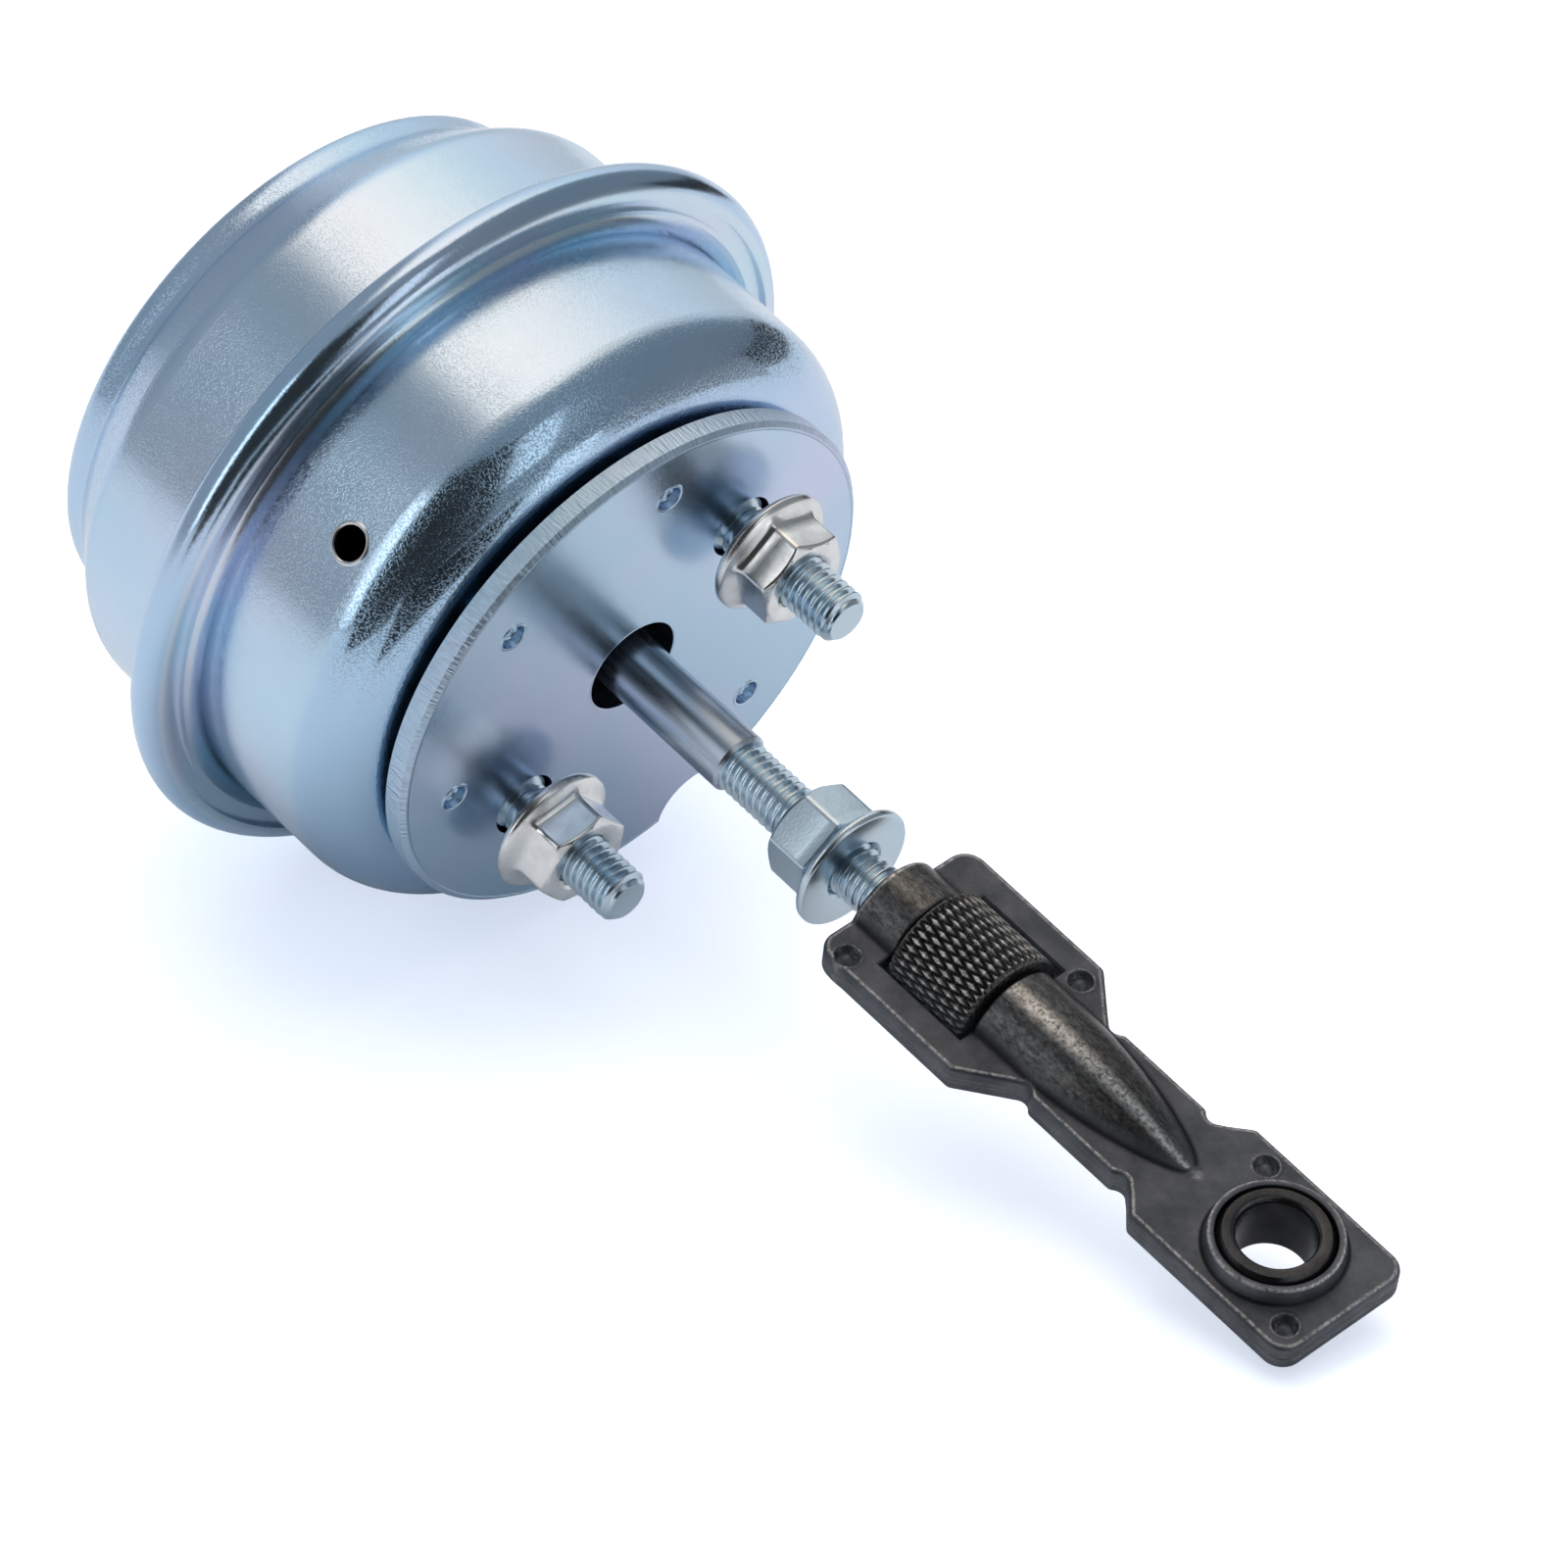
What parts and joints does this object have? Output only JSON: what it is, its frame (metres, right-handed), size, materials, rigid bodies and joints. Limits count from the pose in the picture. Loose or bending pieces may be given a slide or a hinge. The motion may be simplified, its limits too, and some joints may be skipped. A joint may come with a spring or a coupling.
{
  "type": "turbo vacuum actuator",
  "caption": "Round zinc-plated vacuum actuator for a turbocharger, with two flange-nutted studs, a threaded rod and a black adjustable link ending in a swivel eye.",
  "frame": {"origin": "centre of the mounting plate's front face, on the rod's axis", "axes": "+X along the rod, away from the can; +Z along the eye's bore, square to the link's flat plates"},
  "size_m": [0.1727, 0.0854, 0.0854],
  "materials": {
    "zinc_sheet": "bright blue zinc plating on drawn sheet, finely pebbled",
    "zinc_plate": "bright blue zinc plating, satin",
    "zinc_thread": "bright blue zinc plating on rolled threads",
    "nickel": "warm bright plating, slightly worn",
    "rod_zinc": "drawn bar, zinc plated, fine lengthwise grain",
    "bare_steel": "pressed sheet steel, plain",
    "spring_steel": "drawn spring wire",
    "phosphate": "black phosphate on steel, satin, bright at worn edges",
    "black_plastic": "plain moulded bush",
    "rubber": "fabric-reinforced rubber, matte"
  },
  "bodies": {
    "actuator": {"rear_can": "zinc_sheet", "front_can": "zinc_sheet", "mounting_plate": "zinc_plate", "mounting_studs": "zinc_thread", "stud_nuts": "nickel", "diaphragm": "rubber", "return_spring": "spring_steel", "spring_seat": "bare_steel", "guide_bush": "black_plastic", "rod_seal": "rubber", "vacuum_nipple": "bare_steel"},
    "rod": {"actuator_rod": "rod_zinc", "piston_cup": "bare_steel", "retainer_plate": "bare_steel", "rivet_washer": "bare_steel"},
    "lock_nut": {"lock_nut": "zinc_thread"},
    "link": {"upper_link_plate": "phosphate", "lower_link_plate": "phosphate"},
    "adjuster": {"knurled_adjuster": "phosphate"},
    "ball": {"swivel_ball": "phosphate"}
  },
  "joints": [
    {"name": "rod_stroke", "type": "slide", "parent": "actuator", "child": "rod", "axis": [1, 0, 0], "range_m": [-0.012, 0], "stiffness_N_per_m": 3000, "deforming": ["diaphragm", "return_spring"]},
    {"name": "lock_nut_turn", "type": "hinge", "parent": "rod", "child": "lock_nut", "pos_m": [0.03, 0, 0], "axis": [1, 0, 0], "continuous": true},
    {"name": "link_adjust", "type": "slide", "parent": "rod", "child": "link", "axis": [1, 0, 0], "range_m": [-0.004, 0.006]},
    {"name": "adjuster_turn", "type": "hinge", "parent": "link", "child": "adjuster", "pos_m": [0.0515, 0, 0], "axis": [1, 0, 0], "range_deg": [-1450, 2170]},
    {"name": "ball_tilt", "type": "hinge", "parent": "link", "child": "ball", "pos_m": [0.0954, 0, 0], "axis": [1, 0, 0], "range_deg": [-12, 12]}
  ],
  "couplings": [
    {"joint": "adjuster_turn", "follows": "link_adjust", "rad_per_m": 6283.2}
  ]
}
